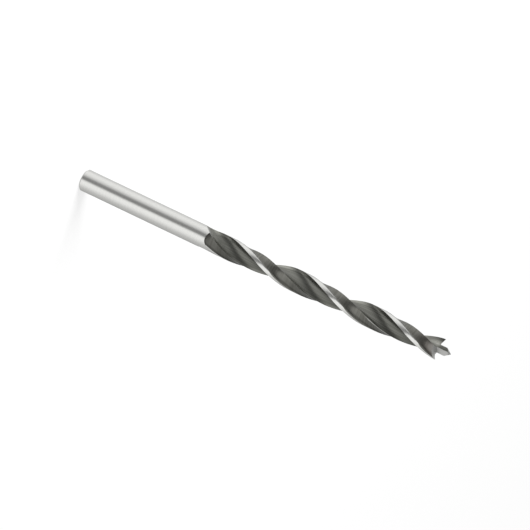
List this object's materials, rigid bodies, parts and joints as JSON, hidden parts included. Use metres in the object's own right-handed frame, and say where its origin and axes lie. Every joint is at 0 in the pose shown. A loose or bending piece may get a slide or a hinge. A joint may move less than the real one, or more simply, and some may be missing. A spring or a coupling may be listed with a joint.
{
  "type": "brad point drill bit",
  "caption": "Brad point drill bit for wood: right-hand helical flutes, outer spurs and a sharp centre brad at the tip, and a plain round shank for a chuck.",
  "frame": {"origin": "centre of the shank's flat end face, at the bottom", "axes": "+Z along the bit's axis from the shank to the brad point; +X through the leading edge of one spur"},
  "size_m": [0.0048, 0.0048, 0.0889],
  "materials": {
    "tool_steel": "fine ground, darker in the flutes"
  },
  "bodies": {
    "root": {"drill_bit": "tool_steel"}
  },
  "joints": []
}
